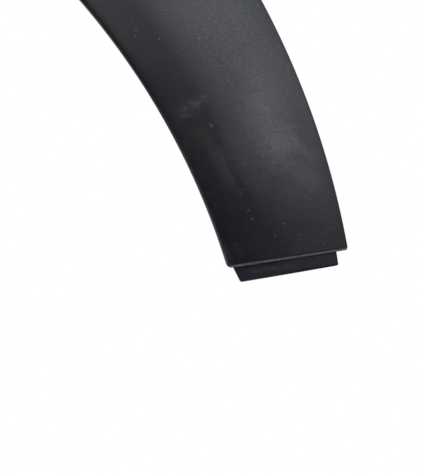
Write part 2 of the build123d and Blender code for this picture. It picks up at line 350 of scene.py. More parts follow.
def on_face(sizes, x, z, depth):
    """The point of the wall, so deep below the face, at a place in side view"""
    section = Section(sizes, atan2(z, x))
    return Vector((x, section.face_y(hypot(x, z), depth), z))


class Station:
    """One place across the wall: the run that it lies on, its share of that run and its depth"""

    def __init__(self, run, share, depth, end_round):
        self.run = run
        self.share = share
        self.depth = depth
        self.end_round = end_round

    def at(self, sizes, angle, depth=None, reach=0.0):
        section = Section(sizes, angle, reach)
        place = getattr(section, self.run)(self.share, self.depth if depth is None else depth)
        return in_plan(place.x, angle, place.y)


def outside_stations(sizes):
    """Across the outside, from the top of the flange to the foot of the edge, with their end rounds"""
    face = sizes.end_round
    inner = sizes.end_inner_round
    outer = sizes.end_outer_round
    shoulder = mixed(face, inner, ROLL_SHARE)
    runs = [
        ("ear", 0, inner, inner),
        ("flange", 4, inner, inner),
        ("roll", 8, inner, shoulder),
        ("band", 7, shoulder, face),
        ("crest", 9, face, face),
        ("slope", 14, face, face),
        ("lip", 4, face, outer),
        ("edge", 2, outer, outer),
    ]
    stations = []
    for run, count, first, last in runs:
        for i in range(count + 1):
            part = i / max(count, 1)
            if i == 0 and run not in ("ear", "flange"):
                continue
            stations.append(Station(run, part, 0.0, mixed(first, last, part)))
    return stations


def inside_stations(sizes):
    """Across the inside, from the foot of the edge back to the top of the flange"""
    runs = [("edge", 1), ("slope", 10), ("crest", 6), ("band", 4), ("flange", 3), ("ear", 0)]
    stations = []
    for run, count in runs:
        shares = [1 - i / max(count, 1) for i in range(count + 1)]
        if run in ("slope", "crest", "band", "flange"):
            shares = shares[1:]
        stations += [Station(run, part, sizes.wall, 0.0) for part in shares]
    return stations


# The two straight ends


class StraightEnd:
    """An end of the moulding as a line in side view, with the moulding on the side of its normal"""

    def __init__(self, x, z, slant, guess):
        self.corner = Vector((x, z))
        self.line = Vector((cos(slant), sin(slant)))
        self.normal = Vector((-sin(slant), cos(slant)))
        self.guess = guess

    def angle_of(self, sizes, station, distance, depth):
        """Where a station, so deep, lies at that distance from the end"""
        found = self.guess
        for _ in range(APPROACHES):
            point = station.at(sizes, found, depth)
            plan = Vector((point.x, point.z))
            turn = plan.length * self.normal.dot(Vector((-sin(found), cos(found))))
            found += (distance - self.normal.dot(plan - self.corner)) / turn
        return found

    def place(self, along, past):
        """A place in side view from the corner, along the end and past it"""
        return self.corner + self.line * along - self.normal * past


def tongue_end(sizes):
    corner = in_plan(sizes.inner_radius, sizes.end_angle, 0)
    return StraightEnd(corner.x, corner.z, sizes.end_slant, sizes.end_angle)


def far_end(sizes):
    drop = sizes.far_end_drop
    return StraightEnd(-sizes.inner_radius, -drop, 0, pi + asin(drop / sizes.inner_radius))


def rounded_depth(radius, distance):
    """Depth of a round of that radius, so far from the end that it runs along"""
    if distance >= radius:
        return 0.0
    return radius - sqrt(radius**2 - (radius - distance) ** 2)


def spread(first, last, step):
    """Even places from first to last, both kept, no further apart than a step"""
    count = max(1, ceil((last - first) / step))
    return [mixed(first, last, i / count) for i in range(count + 1)]


def flange_rows(sizes, back, first, last):
    """Angles of the rows along the arch with the reach of the flange at each, round every screw ear"""
    step = sizes.row_step / sizes.inner_radius
    half = back.ear_width / 2 / sizes.inner_radius
    corner = back.ear_round / sizes.inner_radius
    # a quarter turn in six steps
    turns = [i * pi / 12 for i in range(7)]
    sides = [half - corner * (1 - cos(t)) for t in turns]
    rise = [(side, back.ear_reach - back.ear_round * (1 - sin(t))) for side, t in zip(sides, turns)]
    rows = []
    here = first
    for degrees in EAR_ANGLES:
        middle = radians(degrees)
        rows += [(a, sizes.flange_reach) for a in spread(here, middle - half, step)]
        rows += [(middle - across, reach) for across, reach in rise]
        top = spread(middle - half + corner, middle + half - corner, step)
        rows += [(a, back.ear_reach) for a in top[1:-1]]
        rows += [(middle + across, reach) for across, reach in reversed(rise)]
        here = middle + half
    return rows + [(a, sizes.flange_reach) for a in spread(here, last, step)]


class Row:
    """One row of the skin: how each station finds its place on it"""

    def __init__(self, sizes, reach, angle_of, depth_of):
        self.sizes = sizes
        self.reach = reach
        self.angle_of = angle_of
        self.depth_of = depth_of

    def place(self, station):
        depth = self.depth_of(station)
        return station.at(self.sizes, self.angle_of(station, depth), depth, self.reach)


def end_rows(sizes, end, distances, round_of):
    """Rows close to an end, each in a plane beside it"""

    def row(distance):
        def depth_of(station):
            return station.depth + rounded_depth(round_of(station), distance)

        def angle_of(station, depth):
            return end.angle_of(sizes, station, distance, depth)

        return Row(sizes, sizes.flange_reach, angle_of, depth_of)

    return [row(distance) for distance in distances]


def middle_rows(sizes, back, near, far, distance, stations):
    """Rows between the two ends, which turn gradually from one end's slant to the other's"""
    starts = {s: near.angle_of(sizes, s, distance, s.depth) for s in stations}
    stops = {s: far.angle_of(sizes, s, distance, s.depth) for s in stations}
    first = starts[stations[0]]
    last = stops[stations[0]]

    def row(angle, reach):
        part = (angle - first) / (last - first)

        def angle_of(station, depth):
            return mixed(starts[station], stops[station], part)

        return Row(sizes, reach, angle_of, lambda station: station.depth)

    return [row(a, reach) for a, reach in flange_rows(sizes, back, first, last)]


def skin_rows(sizes, back, stations):
    """All rows from the tongue end to the far end"""
    near = tongue_end(sizes)
    far = far_end(sizes)
    near_steps = [step * MM for step in NEAR_STEPS]
    far_steps = [step * MM for step in FAR_STEPS]

    def far_round(station):
        return sizes.far_round if station.depth == 0 else 0.0

    rows = end_rows(sizes, near, near_steps, lambda station: station.end_round)
    rows += middle_rows(sizes, back, near, far, CLEAR_OF_ENDS, stations)
    return rows + end_rows(sizes, far, far_steps, far_round)


# Mesh helpers


def new_object(name, bm):
    mesh = bpy.data.meshes.new(name)
    bm.to_mesh(mesh)
    bm.free()
    made = bpy.data.objects.new(name, mesh)
    bpy.context.scene.collection.objects.link(made)
    return made


def closed(bm):
    """Doubles merged and normals outwards"""
    bmesh.ops.remove_doubles(bm, verts=bm.verts[:], dist=MERGE)
    bmesh.ops.recalc_face_normals(bm, faces=bm.faces[:])


def polygon(bm, points):
    return bm.faces.new([bm.verts.new(p) for p in points])


def raised(bm, faces, step):
    """Faces extruded by a step; returns the moved corners"""
    made = bmesh.ops.extrude_face_region(bm, geom=faces)["geom"]
    moved = [part for part in made if isinstance(part, bmesh.types.BMVert)]
    bmesh.ops.translate(bm, verts=moved, vec=step)
    return moved


def rounded(bm, geom, offset, segments, affect="EDGES", clamp=False):
    """Edges or corners rounded off"""
    bmesh.ops.bevel(
        bm,
        geom=geom,
        offset=offset,
        segments=segments,
        profile=0.5,
        affect=affect,
        material=-1,
        clamp_overlap=clamp,
    )


def rod(bm, diameter, depth, matrix):
    """A round bar about a middle"""
    radius = diameter / 2
    bmesh.ops.create_cone(
        bm, cap_ends=True, segments=ROD_SIDES, radius1=radius, radius2=radius, depth=depth, matrix=matrix
    )


def cut_by(base, tool, operation):
    """A Boolean with a throw-away object, applied to the base's mesh"""
    step = base.modifiers.new("cut", "BOOLEAN")
    step.operation = operation
    step.solver = "EXACT"
    step.object = tool
    depsgraph = bpy.context.evaluated_depsgraph_get()
    made = bpy.data.meshes.new_from_object(base.evaluated_get(depsgraph))
    if len(made.polygons) == 0:
        raise RuntimeError(f"the {operation.lower()} of {base.name} with {tool.name} left nothing")
    base.modifiers.clear()
    old = base.data
    base.data = made
    bpy.data.meshes.remove(old)
    old = tool.data
    bpy.data.objects.remove(tool)
    bpy.data.meshes.remove(old)


def back_matrix(sizes, angle, y):
    """On the centre line of the back, with local Z inboard and local X along the arch"""
    middle = (sizes.inner_radius + Section(sizes, angle).outer) / 2
    axes = Matrix(((sin(angle), -cos(angle), 0), (0, 0, 1), (-cos(angle), -sin(angle), 0)))
    return Matrix.Translation(in_plan(middle, angle, y)) @ axes.to_4x4()


# The moulding


def skin(sizes, back):
    """The thin wall from end to end, spun as a ring of stations and then set to its taper"""
    stations = outside_stations(sizes) + inside_stations(sizes)
    rows = skin_rows(sizes, back, stations)
    start = sizes.end_angle
    span = pi / 2
    bm = bmesh.new()
    layer = bm.verts.layers.int.new("station")
    ring = []
    for i, station in enumerate(stations):
        vert = bm.verts.new(station.at(sizes, start))
        vert[layer] = i
        ring.append(vert)
    edges = [bm.edges.new((a, b)) for a, b in zip(ring, ring[1:] + ring[:1])]
    steps = len(rows) - 1
    bmesh.ops.spin(
        bm, geom=ring + edges, cent=(0, 0, 0), axis=(0, -1, 0), angle=span, steps=steps, use_merge=False
    )
    for vert in bm.verts:
        turn = atan2(vert.co.z, vert.co.x) - start
        row = rows[round(turn / span * steps)]
        vert.co = row.place(stations[vert[layer]])
    bmesh.ops.remove_doubles(bm, verts=bm.verts[:], dist=MERGE)
    bmesh.ops.holes_fill(bm, edges=[e for e in bm.edges if e.is_boundary], sides=0)
    closed(bm)
    return new_object("moulding", bm)


def tongue(sizes, strip, bm):
    """The stepped strip: a flat outline, cut into cells, thickened and laid along the face"""
    end = tongue_end(sizes)
    corner = end.corner - Vector((0, sizes.outer_rise))
    run = corner.dot(end.line)
    far = sqrt(run**2 + sizes.outer_radius**2 - corner.length_squared) - run - strip.outer_inset
    fall = tan(strip.slant)
    lead = tan(strip.lead_in)
    tip = (strip.length - fall * strip.inner_inset) / (1 + fall * lead)
    outline = [
        (strip.root_inset, -strip.lap, 0),
        (far, -strip.lap, 0),
        (far, strip.length - fall * far, 0),
        (strip.inner_inset + tip * lead, tip, 0),
        (strip.inner_inset, 0, 0),
        (strip.root_inset, -strip.root_depth, 0),
    ]
    flat = bmesh.new()
    face = polygon(flat, outline)
    corners = [v for v in face.verts if v.co.y > strip.lap]
    rounded(flat, corners, strip.corner_round, 5, "VERTICES")
    for axis, first, last in ((0, 0, far), (1, -strip.lap, strip.length)):
        normal = Vector((axis == 0, axis == 1, 0))
        for place in spread(first, last, strip.cell)[1:-1]:
            every = flat.verts[:] + flat.edges[:] + flat.faces[:]
            bmesh.ops.bisect_plane(flat, geom=every, plane_co=normal * place, plane_no=normal)
    raised(flat, flat.faces[:], (0, 0, strip.wall))
    closed(flat)
    upper = [e for e in flat.edges if all(v.co.z < strip.wall / 2 for v in e.verts)]
    rim = [e for e in upper if e.calc_face_angle() > RIM_BEND]
    rounded(flat, rim, strip.rim_round, 2)
    for vert in flat.verts:
        plan = end.place(vert.co.x, vert.co.y)
        vert.co = on_face(sizes, plan.x, plan.y, strip.step + vert.co.z)
    joined(bm, flat)


def joined(bm, other, matrix=None):
    """All of another bmesh added to this one, which it uses up"""
    if matrix is not None:
        bmesh.ops.transform(other, matrix=matrix, verts=other.verts[:])
    bmesh.ops.recalc_face_normals(other, faces=other.faces[:])
    carrier = bpy.data.meshes.new("carrier")
    other.to_mesh(carrier)
    other.free()
    bm.from_mesh(carrier)
    bpy.data.meshes.remove(carrier)


def drop_to_face(sizes, verts):
    """Corners set half-way through the wall below them"""
    for vert in verts:
        vert.co = on_face(sizes, vert.co.x, vert.co.z, sizes.wall / 2)


def tower(sizes, back, degrees, bm):
    """A box open at one end, with a keyhole in its top plate for the neck of a clip"""
    x = back.tower_length / 2
    y = back.tower_width / 2
    inner_x = x - back.tower_wall
    inner_y = y - back.tower_wall
    slot = back.slot_width / 2
    under = back.tower_top - back.tower_plate
    outer = [(-x, -y), (x, -y), (x, y), (-x, y)]
    inner = [(-x, inner_y), (inner_x, inner_y), (inner_x, -inner_y), (-x, -inner_y)]
    # half a turn in sixteen steps
    keyhole = [(slot * cos(t), slot * sin(t)) for t in (pi / 2 - i * pi / 16 for i in range(17))]
    box = bmesh.new()
    shell = polygon(box, [(a, b, under) for a, b in outer + inner])
    joint = [shell.verts[i] for i in (7, 6, 5, 4)]
    notch = [(-x, slot)] + keyhole + [(-x, -slot)]
    plate = box.faces.new(joint + [box.verts.new((a, b, under)) for a, b in notch])
    raised(box, [shell, plate], (0, 0, back.tower_plate))
    foot = raised(box, [shell], (0, 0, under - back.tower_length))
    matrix = back_matrix(sizes, radians(degrees), 0)
    bmesh.ops.transform(box, matrix=matrix, verts=box.verts[:])
    drop_to_face(sizes, foot)
    joined(bm, box)


def pin(sizes, back, degrees, bm):
    """A locating pin on a round boss, spun from its half outline"""
    radius = back.pin_diameter / 2
    boss = back.boss_diameter / 2
    foot_level = back.boss_top - back.tower_length
    half = [
        (0, back.pin_reach),
        (radius - back.pin_chamfer, back.pin_reach),
        (radius, back.pin_reach - back.pin_chamfer),
        (radius, back.boss_top),
        (boss, back.boss_top),
        (boss, foot_level),
        (0, foot_level),
    ]
    turned = bmesh.new()
    verts = [turned.verts.new((r, 0, z)) for r, z in half]
    edges = [turned.edges.new(pair) for pair in zip(verts, verts[1:])]
    bmesh.ops.spin(
        turned,
        geom=verts + edges,
        cent=(0, 0, 0),
        axis=(0, 0, 1),
        angle=2 * pi,
        steps=PIN_SIDES,
        use_merge=True,
    )
    closed(turned)
    foot = [v for v in turned.verts if abs(v.co.z - foot_level) < MERGE]
    bmesh.ops.transform(turned, matrix=back_matrix(sizes, radians(degrees), 0), verts=turned.verts[:])
    drop_to_face(sizes, foot)
    joined(bm, turned)


def rib(sizes, back, degrees, bm):
    """A gusset between the flange and the band, rooted half-way through both"""
    middle = radians(degrees)
    floor = sizes.wall - Section(sizes, middle).height
    foot = sizes.inner_radius + sizes.wall
    root = sizes.wall / 2
    outline = [
        (foot - root, floor - root),
        (foot + back.rib_length, floor - root),
        (foot + back.rib_length, floor),
        (foot, floor + back.rib_height),
        (foot - root, floor + back.rib_height),
    ]
    along = Vector((sin(middle), 0, -cos(middle)))
    plate = bmesh.new()
    face = polygon(plate, [in_plan(r, middle, y) - along * back.rib_thickness / 2 for r, y in outline])
    raised(plate, [face], along * back.rib_thickness)
    joined(bm, plate)


def end_wall(sizes, bm):
    """The plate that closes the far end, set just inside the outer rim"""
    end = far_end(sizes)
    stations = [s for s in inside_stations(sizes) if s.run != "ear"]
    depth = sizes.wall / 2
    outline = []
    for station in stations:
        turn = end.angle_of(sizes, station, PLATE_RECESS, depth)
        point = station.at(sizes, turn, depth)
        point.y = min(point.y, 0)
        outline.append(point)
    plate = bmesh.new()
    face = polygon(plate, outline)
    raised(plate, [face], (0, 0, sizes.wall))
    bmesh.ops.remove_doubles(plate, verts=plate.verts[:], dist=MERGE)
    joined(bm, plate)


def screw_holes(sizes, back):
    """Round cutters through the screw ears"""
    bm = bmesh.new()
    for degrees in EAR_ANGLES:
        turn = radians(degrees)
        outward = in_plan(1, turn, 0)
        place = Matrix.Translation(outward * sizes.inner_radius + Vector((0, back.screw_height, 0)))
        matrix = place @ outward.to_track_quat("Z", "Y").to_matrix().to_4x4()
        rod(bm, back.screw_hole, 6 * sizes.wall, matrix)
    return new_object("screw_holes", bm)


def moulding(sizes, strip, back):
    """Skin, tongue and all that stands on the back, as one piece"""
    body = skin(sizes, back)
    stands = bmesh.new()
    tongue(sizes, strip, stands)
    for degrees in CLIP_ANGLES:
        tower(sizes, back, degrees, stands)
    for degrees in PIN_ANGLES:
        pin(sizes, back, degrees, stands)
    for degrees in RIB_ANGLES:
        rib(sizes, back, degrees, stands)
    end_wall(sizes, stands)
    cut_by(body, new_object("stands", stands), "UNION")
    cut_by(body, screw_holes(sizes, back), "DIFFERENCE")
    return body


# The clips


def block(bm, size, middle):
    """A box of that size about a middle point; returns its corners"""
    matrix = Matrix.Translation(middle) @ Matrix.Diagonal((*size, 1))
    return bmesh.ops.create_cube(bm, size=1, matrix=matrix)["verts"]


def softened(bm, offset):
    """A small round on every sharp edge"""
    bent = [e for e in bm.edges if e.is_manifold and e.calc_face_angle() > ROUNDED_BEND]
    rounded(bm, bent, offset, 2, clamp=True)


def clip_head(clip, top):
    bm = bmesh.new()
    size = (clip.head_length, clip.head_width, clip.head_thickness)
    block(bm, size, (0, 0, top - clip.head_thickness / 2))
    softened(bm, clip.edge_round)
    return new_object("clip", bm)


def clip_neck(clip, bottom, top):
    bm = bmesh.new()
    middle = Matrix.Translation((0, 0, (bottom + top) / 2))
    rod(bm, clip.neck_diameter, top - bottom, middle)
    return new_object("clip_neck", bm)


def clip_plate(clip, bottom):
    """The plate that seals the hole, narrower below"""
    bm = bmesh.new()
    verts = block(bm, (clip.plate_length, clip.plate_width, -bottom), (0, 0, bottom / 2))
    for vert in verts:
        if vert.co.z < bottom / 2:
            vert.co.x *= 1 - 2 * clip.plate_slant / clip.plate_length
            vert.co.y *= 1 - 2 * clip.plate_slant / clip.plate_width
    upright = [e for e in bm.edges if abs(e.verts[0].co.z - e.verts[1].co.z) > -bottom / 2]
    rounded(bm, upright, PLATE_ROUND, 6)
    softened(bm, clip.edge_round)
    return new_object("clip_plate", bm)


def clip_spear(clip):
    """The sprung spearhead, with an eye that lets its shoulders close"""
    right = [
        (clip.spear_root / 2, -SPEAR_OVERLAP),
        (clip.spear_root / 2, 0),
        (clip.spear_width / 2, clip.shoulder_height),
        (clip.spear_tip / 2, clip.spear_height),
    ]
    outline = right + [(-x, z) for x, z in reversed(right)]
    half = clip.spear_thickness / 2
    bm = bmesh.new()
    face = polygon(bm, [(x, -half, z) for x, z in outline])
    raised(bm, [face], (0, clip.spear_thickness, 0))
    bmesh.ops.recalc_face_normals(bm, faces=bm.faces[:])
    softened(bm, clip.edge_round)
    return new_object("clip_spear", bm)


def clip_eye(clip):
    bm = bmesh.new()
    wide = clip.eye_width / 2
    middle = clip.shoulder_height
    ring = [(0, clip.eye_from), (wide, middle), (0, clip.eye_to), (-wide, middle)]
    face = polygon(bm, [(x, -clip.spear_thickness, z) for x, z in ring])
    raised(bm, [face], (0, 2 * clip.spear_thickness, 0))
    bmesh.ops.recalc_face_normals(bm, faces=bm.faces[:])
    return new_object("clip_eye", bm)


def clips(sizes, back, clip):
    """One clip made of its four moulded parts, and set in every tower"""
    top = back.tower_top - back.tower_plate - clip.head_gap
    one = clip_head(clip, top)
    neck = clip_neck(clip, top - clip.head_thickness / 2, back.tower_top + NECK_OVERLAP)
    cut_by(one, neck, "UNION")
    cut_by(one, clip_plate(clip, back.tower_top), "UNION")
    cut_by(one, clip_spear(clip), "UNION")
    cut_by(one, clip_eye(clip), "DIFFERENCE")
    bm = bmesh.new()
    for degrees in CLIP_ANGLES:
        single = bmesh.new()
        single.from_mesh(one.data)
        joined(bm, single, back_matrix(sizes, radians(degrees), 0))
    mesh = one.data
    bpy.data.objects.remove(one)
    bpy.data.meshes.remove(mesh)
    return new_object("push_in_clips", bm)


# Shader maths


class Signal:
    """A shader socket that takes part in Python expressions"""

    def __init__(self, graph, socket):
        self.graph = graph
        self.socket = socket

    def maths(self, operation, *others):
        return self.graph.node("ShaderNodeMath", {"operation": operation}, [self, *others])

    def sibling(self, output):
        """Another output of the same node"""
        return Signal(self.graph, self.socket.node.outputs[output])

    def __add__(self, other):
        return self.maths("ADD", other)

    __radd__ = __add__

    def __sub__(self, other):
        return self.maths("SUBTRACT", other)

    def __rsub__(self, other):
        return self.graph.node("ShaderNodeMath", {"operation": "SUBTRACT"}, [other, self])

    def __mul__(self, other):
        return self.maths("MULTIPLY", other)

    __rmul__ = __mul__

    def __truediv__(self, other):
        return self.maths("DIVIDE", other)

    def __pow__(self, other):
        return self.maths("POWER", other)

    def rise(self, low, high):
        """0 below low, 1 above high and smooth between; low may be the larger"""
        sockets = {"Value": self, "From Min": low, "From Max": high, "To Min": 0.0, "To Max": 1.0}
        return self.graph.node("ShaderNodeMapRange", {"interpolation_type": "SMOOTHSTEP"}, sockets)


class Graph:
    """The nodes of one material or of the world"""

    def __init__(self, owner):
        owner.use_nodes = True
        self.tree = owner.node_tree
        self.tree.nodes.clear()

    def node(self, kind, settings=None, sockets=None, output=0):
        """One node: its settings, then the values or links of its sockets; returns one of its outputs"""
        made = self.tree.nodes.new(kind)
        for name, value in (settings or {}).items():
            setattr(made, name, value)
        pairs = sockets.items() if isinstance(sockets, dict) else enumerate(sockets or [])
        for key, value in pairs:
            if isinstance(value, Signal):
                self.tree.links.new(value.socket, made.inputs[key])
            else:
                made.inputs[key].default_value = value
        return Signal(self, made.outputs[output]) if made.outputs else None

    def mix(self, factor, first, second):
        """Two colours mixed"""
        sockets = {0: factor, 6: first, 7: second}
        return self.node("ShaderNodeMix", {"data_type": "RGBA"}, sockets, 2)

    def noise(self, vector, scale, detail, roughness):
        sockets = {"Vector": vector, "Scale": scale, "Detail": detail, "Roughness": roughness}
        return self.node("ShaderNodeTexNoise", None, sockets, "Fac")

    def axes(self, vector):
        first = self.node("ShaderNodeSeparateXYZ", None, {"Vector": vector}, "X")
        return first, first.sibling("Y"), first.sibling("Z")

    def bump(self, strength, distance, height):
        sockets = {"Strength": strength, "Distance": distance, "Height": height}
        return self.node("ShaderNodeBump", None, sockets)

    def surface(self, shader):
        self.node("ShaderNodeOutputMaterial", None, {"Surface": shader})


def rgba(value):
    return (*value, 1.0)


# Black grained plastic

# Noise over the moulding and the clips: scale per metre, detail and roughness.
BLOOM = (60, 6.0, 0.66)
PATCHES = (170, 4.0, 0.6)
CLOUD = (260, 6.0, 0.72)
BLOTCHES = (380, 3.0, 0.6)
RAGGED = (620, 4.0, 0.7)
SAND = (1500, 2.0, 0.5)
NYLON_CLOUD = (220, 3.0, 0.55)
NYLON_SKIN = (2600, 2.0, 0.5)

# How far each layer on the plastic covers what lies under it.
SAND_COVER = 0.04
STREAK_COVER = 0.06
SMEAR_COVER = 0.7
SCRATCH_COVER = 0.9
DUST_COVER = 0.75


class Mark:
    """A mark on the face: middle in side view, half length and half width in mm, turn and strength"""

    def __init__(self, x, z, along, across, degrees, strength):
        self.x = x * MM
        self.z = z * MM
        self.along = along * MM
        self.across = across * MM
        self.turn = radians(degrees)
        self.strength = strength

    def mask(self, x, z, ragged, core):
        """1 in the core, falling to 0 at the rim, which the ragged signal breaks up"""
        off_x = x - self.x
        off_z = z - self.z
        along = (off_x * cos(self.turn) + off_z * sin(self.turn)) / self.along
        across = (off_z * cos(self.turn) - off_x * sin(self.turn)) / self.across
        distance = (along * along + across * across) ** 0.5 + ragged
        return distance.rise(1.0, core) * self.strength


# Hazy layer on the face that also paints the highlight: its brightest patches on the slope stand in for
# the lamp's reflection.
HAZE_AND_HIGHLIGHTS = [
    Mark(390.5, -254.8, 18.0, 14.0, -80, 0.50),
    Mark(381.7, -238.3, 37.0, 18.5, -81, 0.50),
    Mark(370.0, -212.6, 21.0, 9.0, -41, 0.06),
    Mark(402.0, -256.6, 16.0, 5.0, -39, 0.28),
    Mark(403.8, -269.6, 16.0, 9.0, -37, 0.30),
    Mark(396.8, -275.2, 24.0, 12.0, -37, 0.12),
    Mark(360.4, -264.8, 24.5, 6.0, -60, 0.18),
    Mark(370.5, -262.3, 32.0, 10.0, -61, 0.21),
    Mark(344.0, -187.0, 40.0, 20.0, -30, 0.17),
    Mark(397.7, -250.0, 11.0, 2.4, -53, 0.16),
    Mark(383.4, -235.5, 9.0, 2.4, -46, 0.12),
    Mark(363.7, -311.8, 9.0, 3.0, -72, 0.15),
    Mark(362.0, -246.0, 16.0, 6.0, -60, 0.045),
    Mark(377.0, -306.0, 18.0, 6.0, 8.6, 0.03),
    Mark(365.4, -271.0, 15.0, 3.6, -57, 0.06),
    Mark(345.0, -234.0, 13.0, 5.5, 32, 0.06),
    Mark(369.0, -309.0, 8.0, 4.0, -70, 0.08),
]
# Painted shade: patches where the plastic is painted darker and its gloss dimmed, to stand for places that
# catch less light.
PAINTED_SHADES = [
    Mark(325.5, -222.0, 32.0, 12.0, -57.5, 1.0),
    Mark(393.0, -302.0, 14.0, 8.0, 8.6, 1.0),
    Mark(383.5, -193.5, 34.0, 8.0, -58.5, 0.9),
    Mark(404.0, -297.5, 24.0, 10.0, 8.6, 0.9),
    Mark(401.5, -240.5, 14.0, 5.0, -68, 0.9),
    Mark(374.5, -290.3, 14.0, 5.0, -66, 0.6),
    Mark(370.5, -274.5, 17.0, 2.6, -56, 0.9),
    Mark(417.0, -302.0, 10.0, 8.0, 8.6, 0.8),
]
SMUDGES = [
    Mark(345.0, -235.2, 12.0, 5.0, 31, 0.85),
    Mark(345.2, -239.2, 4.5, 2.4, 10, 0.80),
    Mark(385.6, -318.0, 18.0, 1.8, 7, 0.60),
]
STAINS = [
    Mark(350.0, -251.0, 34.0, 12.0, -58, 0.70),
    Mark(318.0, -199.0, 42.0, 13.0, -46, 0.55),
    Mark(372.0, -285.0, 22.0, 9.0, -66, 0.25),
]
SCUFFS = [
    Mark(355.4, -244.8, 1.8, 1.0, -62, 0.45),
    Mark(374.2, -288.4, 1.2, 0.45, 60, 0.50),
    Mark(387.8, -301.0, 1.2, 0.45, -50, 0.40),
]
SCRATCHES = [
    Mark(389.6, -247.9, 6.0, 0.42, 0, 1.00),
    Mark(376.5, -247.4, 1.1, 0.80, 20, 1.00),
    Mark(384.4, -255.8, 1.8, 0.65, -40, 1.00),
    Mark(378.5, -226.9, 4.0, 0.40, 2, 0.80),
    Mark(379.4, -214.6, 6.0, 0.38, -3, 0.65),
    Mark(396.0, -240.0, 2.2, 0.25, 10, 0.50),
]
SPECKS = [
    Mark(391.9, -304.0, 0.40, 0.40, 0, 0.45),
    Mark(400.9, -303.1, 0.40, 0.35, 0, 0.35),
    Mark(413.4, -305.1, 0.50, 0.45, 0, 0.45),
    Mark(414.3, -300.1, 0.45, 0.40, 0, 0.30),
    Mark(416.8, -297.1, 0.50, 0.40, 30, 0.35),
    Mark(408.8, -298.1, 0.40, 0.40, 0, 0.28),
    Mark(382.0, -312.0, 0.40, 0.35, 0, 0.30),
    Mark(369.6, -265.4, 0.40, 0.40, 0, 0.30),
    Mark(370.4, -279.7, 1.40, 0.40, 45, 0.18),
    Mark(371.8, -277.3, 0.80, 0.60, 60, 0.16),
    Mark(357.3, -285.4, 0.90, 0.60, 50, 0.13),
    Mark(362.8, -307.5, 0.35, 0.35, 0, 0.30),
    Mark(375.0, -308.0, 0.70, 0.60, 0, 0.12),
    Mark(328.8, -200.8, 0.60, 0.45, 20, 0.80),
    Mark(349.3, -200.0, 0.65, 0.50, 0, 0.80),
    Mark(316.8, -196.3, 0.80, 0.55, 60, 0.45),
    Mark(316.6, -199.4, 0.75, 0.60, 60, 0.40),
    Mark(314.9, -190.5, 0.45, 0.35, 0, 0.50),
    Mark(330.7, -186.0, 0.50, 0.40, 10, 0.50),
    Mark(338.0, -207.2, 0.55, 0.35, 30, 0.50),
    Mark(363.7, -222.0, 0.60, 0.45, 40, 0.80),
    Mark(365.5, -223.9, 0.50, 0.40, 0, 0.50),
    Mark(350.9, -229.9, 0.50, 0.45, 0, 0.25),
    Mark(317.7, -216.4, 0.65, 0.40, -50, 0.25),
    Mark(379.3, -182.4, 0.60, 0.50, 0, 0.70),
    Mark(372.7, -264.0, 0.45, 0.40, 0, 0.60),
    Mark(361.3, -262.3, 0.45, 0.35, 0, 0.50),
    Mark(402.1, -244.4, 0.50, 0.40, 30, 0.60),
    Mark(376.3, -292.7, 0.70, 0.60, 0, 0.60),
    Mark(392.6, -295.0, 0.50, 0.45, 0, 0.70),
    Mark(367.9, -305.6, 0.45, 0.40, 0, 0.50),
]


class Face:
    """Where a point lies on the moulding, with a signal from 0 to 1 for each place that looks different"""

    def __init__(self, graph, sizes, wheel_z):
        self.place = graph.node("ShaderNodeTexCoord", None, None, "Object")
        x, _, z = graph.axes(self.place)
        above = z - wheel_z
        facing = graph.axes(self.place.sibling("Normal"))[1]
        self.x = x
        self.z = z
        self.radius = (x * x + above * above) ** 0.5
        self.turn = above.maths("ARCTAN2", x)
        lift = self.turn.maths("SINE") * sizes.outer_rise
        outer = lift + (lift * lift + sizes.outer_radius**2 - sizes.outer_rise**2) ** 0.5
        across = (self.radius - sizes.inner_radius) / (outer - sizes.inner_radius)
        # the outside, its slope, the strip beside the rolled edge, and where the mould is grained
        self.outward = facing.rise(0.0, -0.3)
        self.sloped = across.rise(0.22, 0.55)
        self.rubbed = across.rise(0.30, 0.04)
        self.grained = facing.rise(-0.3, -0.85) * across.rise(0.03, 0.09)
        # the upper part of the arch, painted paler and warmer as painted light, lighter towards the top
        self.upper = (z * 0.8 - x * 0.6).rise(-0.47, -0.34)
        # the tongue, and the round of the end before it, where a highlight is painted
        end = tongue_end(sizes)
        before = (x - end.corner.x) * end.normal.x + (above - end.corner.y) * end.normal.y
        near = self.outward * x.rise(0.1, 0.2)
        self.tongue = before.rise(0.0, -0.4 * MM) * near
        self.painted_end_highlight = before.rise(1.5 * MM, 0.5 * MM) * before.rise(-0.2 * MM, 0.0) * near

    def masks(self, marks, ragged, core):
        return [mark.mask(self.x, self.z, ragged, core) for mark in marks]

    def strongest(self, marks, ragged, core=0.35):
        """The strongest of some marks at each place of the outside"""
        found, *others = self.masks(marks, ragged, core)
        for mask in others:
            found = found.maths("MAXIMUM", mask)
        return found * self.outward


def moulded_grain(graph, look, face):
    """Fine noise with shallow pits"""
    fine = graph.noise(face.place, 1 / look.grain_size, 1.0, 0.5)
    sockets = {"Vector": face.place, "Scale": 0.75 / look.grain_size, "Smoothness": 0.6}
    pits = graph.node("ShaderNodeTexVoronoi", {"feature": "SMOOTH_F1"}, sockets, "Distance")
    return fine * 0.55 + pits * 0.45


def loose_dots(graph, face):
    """Pale dots in a few of many small cells"""
    cells = graph.node("ShaderNodeTexVoronoi", None, {"Vector": face.place, "Scale": 240.0}, "Distance")
    lot = graph.axes(cells.sibling("Color"))[0]
    return cells.rise(0.11, 0.06) * lot.rise(0.94, 0.96) * face.outward * 0.6


def wiped_streaks(graph, face):
    """Thin streaks along the arch"""
    polar = graph.node("ShaderNodeCombineXYZ", None, [face.radius * 420, face.turn * 9, 0.0])
    return graph.noise(polar, 1.0, 3.0, 0.65).rise(0.58, 0.80)


